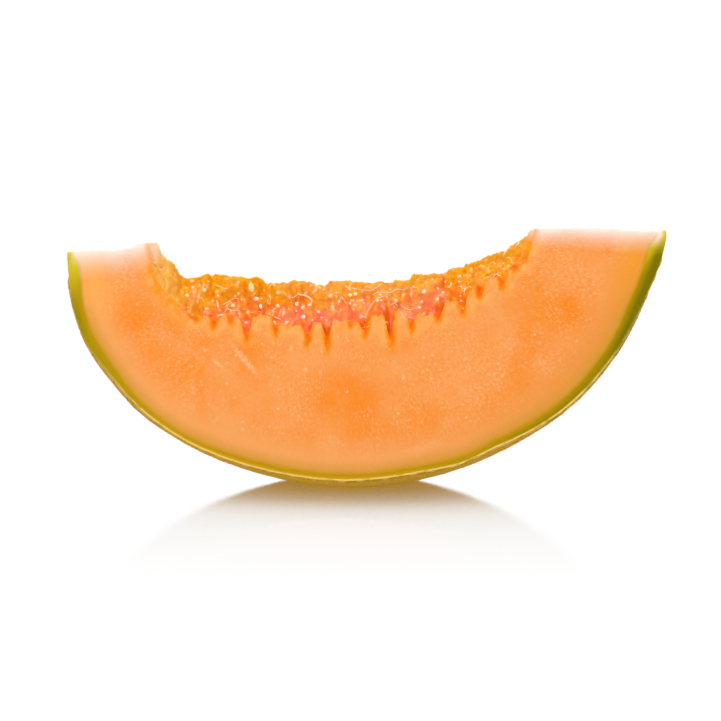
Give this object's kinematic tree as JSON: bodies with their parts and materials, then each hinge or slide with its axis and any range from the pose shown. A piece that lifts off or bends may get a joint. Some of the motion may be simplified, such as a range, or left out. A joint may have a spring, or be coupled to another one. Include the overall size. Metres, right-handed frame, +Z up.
{
  "type": "cantaloupe wedge",
  "caption": "Cut wedge of a ripe netted cantaloupe lying on its rind: orange flesh, thin green layer, raised-net rind and a ragged hollow where the seeds were.",
  "frame": {"origin": "middle of the small flat spot on the rind that the wedge rests on", "axes": "+X along the fruit towards its blossom end, +Y away from the near cut face, +Z up"},
  "size_m": [0.1714, 0.0625, 0.0734],
  "materials": {
    "melon": "moist cut flesh, corky netted rind"
  },
  "bodies": {
    "root": {"melon_wedge": "melon"}
  },
  "joints": []
}
